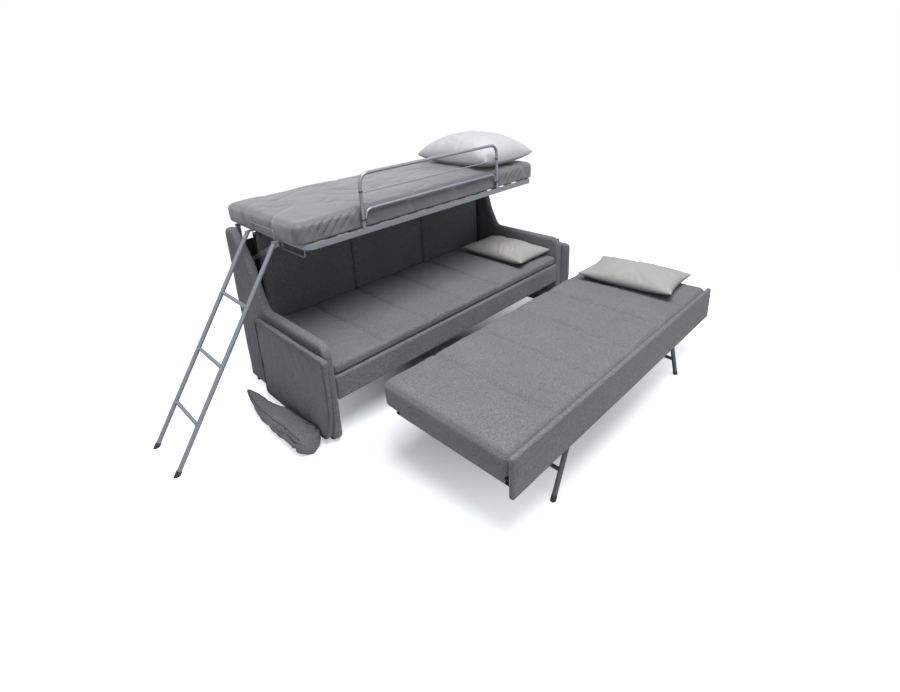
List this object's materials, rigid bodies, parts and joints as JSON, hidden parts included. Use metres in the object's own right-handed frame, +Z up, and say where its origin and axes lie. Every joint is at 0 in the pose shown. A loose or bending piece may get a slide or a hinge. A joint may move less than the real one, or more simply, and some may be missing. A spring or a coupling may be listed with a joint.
{
  "type": "sofa bunk bed",
  "caption": "Grey upholstered sofa opened out as a bunk bed, with ladder, guard rail, pull-out third bed and fold-down arm pads.",
  "frame": {"origin": "centre of the underside of the left side panel's front glide, on the floor", "axes": "+X along the sofa to its right, +Y from its front to its rear, +Z up"},
  "size_m": [3.0854, 2.1816, 1.4204],
  "materials": {
    "upholstery": "woven melange",
    "sheet": "smooth fitted sheet",
    "pillow_white": "smooth cotton",
    "pillow_grey": "smooth cotton",
    "tube_grey": "satin",
    "tube_dark": "satin",
    "pin_steel": "turned",
    "rubber_black": "matt",
    "joint_black": "matt",
    "slat_wood": "bare",
    "board_wood": "bare"
  },
  "bodies": {
    "sofa": {"side_panel_left": "upholstery", "side_panel_right": "upholstery", "floor_glides": "rubber_black", "front_rail": "upholstery", "seat_beams": "tube_grey", "seat_slats": "slat_wood", "seat_mattress": "upholstery", "back_cushion_1": "upholstery", "back_cushion_2": "upholstery", "back_cushion_3": "upholstery", "back_board": "board_wood", "rear_cover": "upholstery", "rear_cross_tube": "tube_grey", "bunk_post_left": "tube_grey", "bunk_post_right": "tube_grey", "lower_pillow": "pillow_grey"},
    "bunk": {"bunk_frame_hoop": "tube_grey", "bunk_rear_rail": "tube_grey", "bunk_slats": "slat_wood", "upper_mattress": "sheet", "upper_pillow": "pillow_white", "bunk_pivot_left": "pin_steel", "bunk_pivot_right": "pin_steel", "stay_lug_left": "tube_grey", "stay_lug_right": "tube_grey", "mattress_loop": "tube_grey", "under_loop": "tube_grey"},
    "stay_left": {"bunk_stay_left": "tube_grey"},
    "stay_right": {"bunk_stay_right": "tube_grey"},
    "guard": {"guard_hoop": "tube_grey", "guard_rod": "tube_grey", "guard_lower_hoop": "tube_grey", "guard_sleeves": "joint_black"},
    "ladder": {"ladder_stile_front": "tube_grey", "ladder_stile_rear": "tube_grey", "ladder_rungs": "tube_grey", "ladder_hooks": "tube_grey", "ladder_foot_caps": "rubber_black"},
    "third_bed": {"bed_front_panel": "upholstery", "bed_long_rails": "tube_dark", "bed_cross_rails": "tube_dark", "bed_slats": "slat_wood", "bed_mattress": "upholstery", "bed_pillow": "pillow_grey", "leg_brackets": "tube_dark"},
    "legs_left": {"leg_frame_left": "tube_dark", "leg_caps_left": "rubber_black"},
    "legs_right": {"leg_frame_right": "tube_dark", "leg_caps_right": "rubber_black"},
    "pad_left": {"arm_pad_left": "upholstery", "pad_flap_left": "upholstery"},
    "pad_right": {"arm_pad_right": "upholstery", "pad_flap_right": "upholstery"},
    "fold_left": {"pad_fold_left": "upholstery"},
    "fold_right": {"pad_fold_right": "upholstery"}
  },
  "joints": [
    {"name": "bunk_tilt", "type": "hinge", "parent": "sofa", "child": "bunk", "pos_m": [1.061, 0.9025, 1.0535], "axis": [-1, 0, 0], "range_deg": [0, 90]},
    {"name": "stay_left_fold", "type": "hinge", "parent": "bunk", "child": "stay_left", "pos_m": [0.071, 0.44, 1.026], "axis": [1, 0, 0], "range_deg": [0, 18.27]},
    {"name": "stay_right_fold", "type": "hinge", "parent": "bunk", "child": "stay_right", "pos_m": [2.051, 0.44, 1.026], "axis": [1, 0, 0], "range_deg": [0, 18.27]},
    {"name": "guard_lift", "type": "slide", "parent": "bunk", "child": "guard", "axis": [0, 0, 1], "range_m": [0, 0.1]},
    {"name": "ladder_lift", "type": "slide", "parent": "bunk", "child": "ladder", "axis": [0, 0, 1], "range_m": [0, 0.03]},
    {"name": "third_bed_slide", "type": "slide", "parent": "sofa", "child": "third_bed", "axis": [0, 1, 0], "range_m": [0, 0.25]},
    {"name": "legs_left_fold", "type": "hinge", "parent": "third_bed", "child": "legs_left", "pos_m": [0.5693, -0.81, 0.314], "axis": [0, -1, 0], "range_deg": [0, 113]},
    {"name": "legs_right_fold", "type": "hinge", "parent": "third_bed", "child": "legs_right", "pos_m": [1.6687, -0.81, 0.314], "axis": [0, 1, 0], "range_deg": [0, 113]},
    {"name": "pad_left_swing", "type": "hinge", "parent": "sofa", "child": "pad_left", "pos_m": [-0.029, 0.28, 0.585], "axis": [0, 1, 0], "range_deg": [0, 25]},
    {"name": "pad_right_swing", "type": "hinge", "parent": "sofa", "child": "pad_right", "pos_m": [2.151, 0.28, 0.585], "axis": [0, -1, 0], "range_deg": [0, 90]},
    {"name": "fold_left_swing", "type": "hinge", "parent": "pad_left", "child": "fold_left", "pos_m": [-0.0725, 0.32, 0.112], "axis": [0, 1, 0], "range_deg": [0, 70]},
    {"name": "fold_right_swing", "type": "hinge", "parent": "pad_right", "child": "fold_right", "pos_m": [2.1945, 0.32, 0.112], "axis": [0, -1, 0], "range_deg": [0, 70]}
  ],
  "couplings": [
    {"joint": "stay_left_fold", "follows": "bunk_tilt", "ratio": 0.203},
    {"joint": "stay_right_fold", "follows": "bunk_tilt", "ratio": 0.203}
  ]
}
